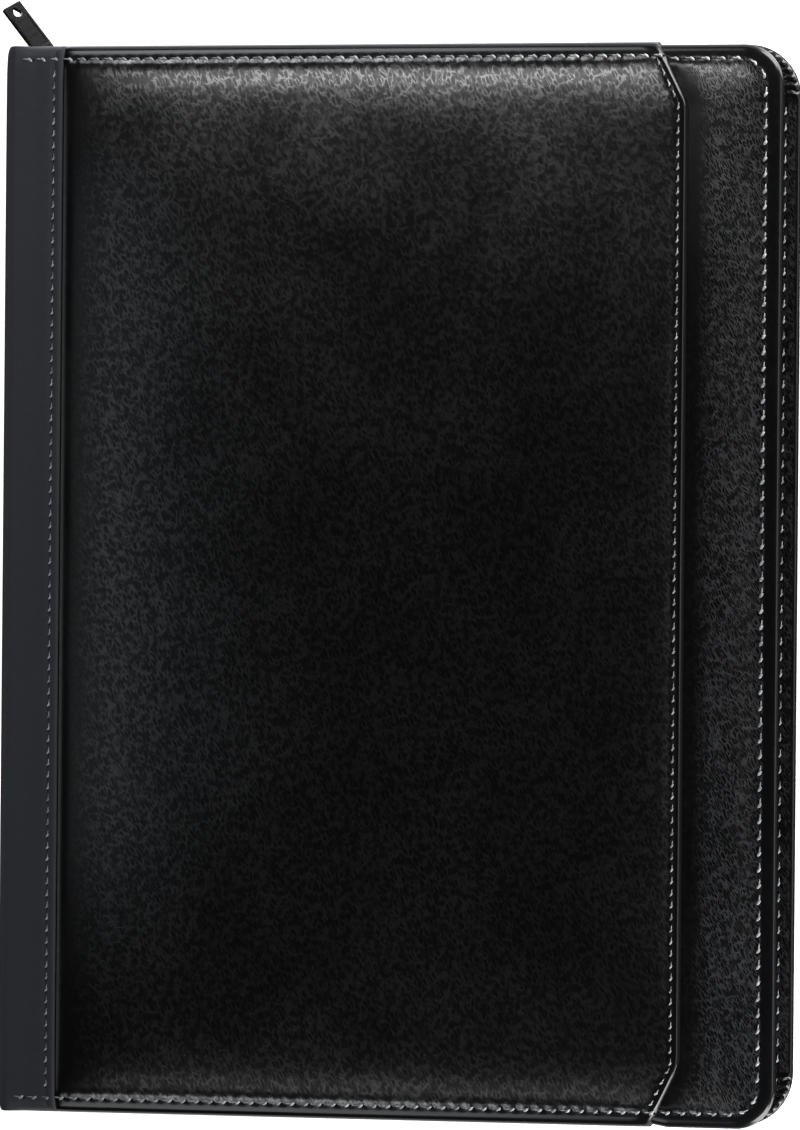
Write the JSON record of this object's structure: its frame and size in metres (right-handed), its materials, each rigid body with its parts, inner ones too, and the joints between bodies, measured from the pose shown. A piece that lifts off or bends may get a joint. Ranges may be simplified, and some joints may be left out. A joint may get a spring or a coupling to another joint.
{
  "type": "zippered padfolio",
  "caption": "Zip-round leather padfolio: two padded covers on a wrapped spine, a slip pocket on the front, and a letter pad, pen loop and card pockets inside.",
  "frame": {"origin": "centre of the back cover's outline, on the face that the closed case rests on", "axes": "+X from the spine to the zip opening, +Y along the spine to the zip pull's end, +Z out of the front cover"},
  "size_m": [0.2599, 0.3522, 0.028],
  "materials": {
    "grained_leather": "satin",
    "smooth_leather": "satin",
    "pocket_leather": "satin",
    "foam": "matte",
    "greyboard": "matte",
    "lining_cloth": "matte",
    "woven_tape": "matte",
    "moulded_teeth": "satin",
    "black_metal": "satin",
    "pad_paper": "matte",
    "binding_paper": "matte",
    "clear_film": "gloss"
  },
  "bodies": {
    "back_cover": {"back_leather": "grained_leather", "back_padding": "foam", "back_board": "greyboard", "back_spine_strip": "smooth_leather", "back_lining": "lining_cloth", "back_zip_tape": "woven_tape", "back_zip_teeth": "moulded_teeth", "back_zip_stop": "moulded_teeth", "pad_sleeve": "pocket_leather", "pad_backing": "greyboard", "pad_sheets": "pad_paper", "pad_binding": "binding_paper", "pen_loop": "woven_tape"},
    "spine": {"spine_leather": "smooth_leather", "spine_board": "greyboard", "spine_lining": "lining_cloth"},
    "front_cover": {"front_leather": "grained_leather", "front_padding": "foam", "front_board": "greyboard", "front_pocket": "grained_leather", "front_spine_strip": "smooth_leather", "front_lining": "lining_cloth", "front_zip_tape": "woven_tape", "front_zip_teeth": "moulded_teeth", "front_zip_stops": "moulded_teeth", "document_pocket": "pocket_leather", "card_pocket_1": "pocket_leather", "card_pocket_2": "pocket_leather", "card_pocket_3": "pocket_leather", "window_frame": "pocket_leather", "window_film": "clear_film"},
    "slider": {"slider_body": "black_metal"},
    "pull": {"pull_tab": "black_metal"}
  },
  "joints": [
    {"name": "spine_fold", "type": "hinge", "parent": "back_cover", "child": "spine", "pos_m": [-0.12608, 0, 0.00117], "axis": [0, -1, 0], "range_deg": [0, 90]},
    {"name": "cover_fold", "type": "hinge", "parent": "spine", "child": "front_cover", "pos_m": [-0.12608, 0, 0.02683], "axis": [0, -1, 0], "range_deg": [0, 90]},
    {"name": "zip_slide", "type": "slide", "parent": "back_cover", "child": "slider", "axis": [1, 0, 0], "range_m": [0, 0.22]},
    {"name": "pull_swing", "type": "hinge", "parent": "slider", "child": "pull", "pos_m": [-0.11745, 0.16605, 0.0131], "axis": [0, 0, 1], "range_deg": [-80, 5]}
  ]
}
